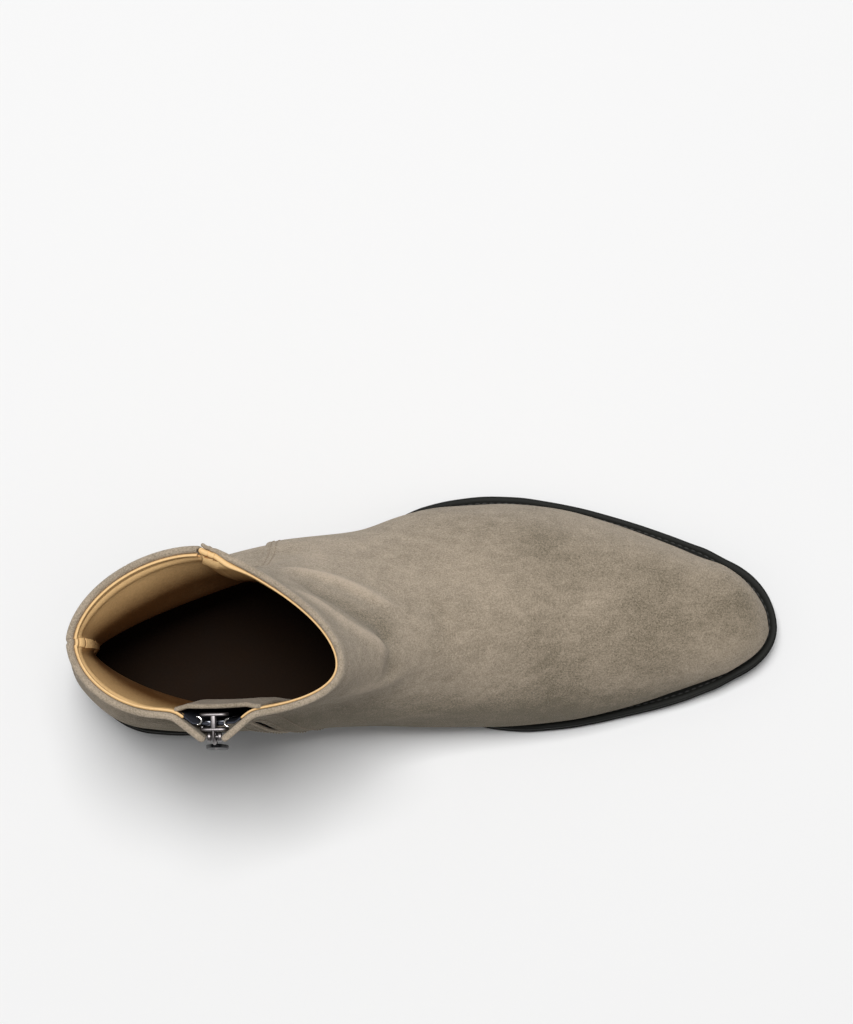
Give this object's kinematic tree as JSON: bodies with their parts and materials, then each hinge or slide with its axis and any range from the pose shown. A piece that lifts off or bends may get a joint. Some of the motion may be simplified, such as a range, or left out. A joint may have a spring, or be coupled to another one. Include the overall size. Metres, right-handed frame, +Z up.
{
  "type": "ankle boot",
  "caption": "Left low-heeled ankle boot in taupe suede, almond toe, zip on the inner side, black welted sole.",
  "frame": {"origin": "on the floor, at the middle of the heel's flat underside", "axes": "+X from heel to toe, +Y to the outer (little toe) side, +Z up"},
  "size_m": [0.2993, 0.1076, 0.1516],
  "materials": {
    "suede": "napped, dry, no sheen",
    "insole_leather": "smooth, dull",
    "black_leather": "edge-dressed, satin",
    "midsole": "raw",
    "black_rubber": "fine matte",
    "zip_tape": "woven, matte",
    "gunmetal": "dark plated, satin"
  },
  "bodies": {
    "boot": {"upper": "suede", "outsole": "black_rubber", "welt": "black_leather", "midsole": "midsole", "insole": "insole_leather", "heel_block": "black_leather", "heel_top_piece": "black_rubber", "zip_guard": "suede", "zip_tape_front": "zip_tape", "zip_tape_rear": "zip_tape", "zip_slider": "gunmetal"},
    "pull": {"zip_pull": "gunmetal"}
  },
  "joints": [
    {"name": "zip_pull_hinge", "type": "hinge", "parent": "boot", "child": "pull", "pos_m": [0.02545, -0.04249, 0.14385], "axis": [-0.9984, 0.0568, 0], "range_deg": [0, 150]}
  ]
}
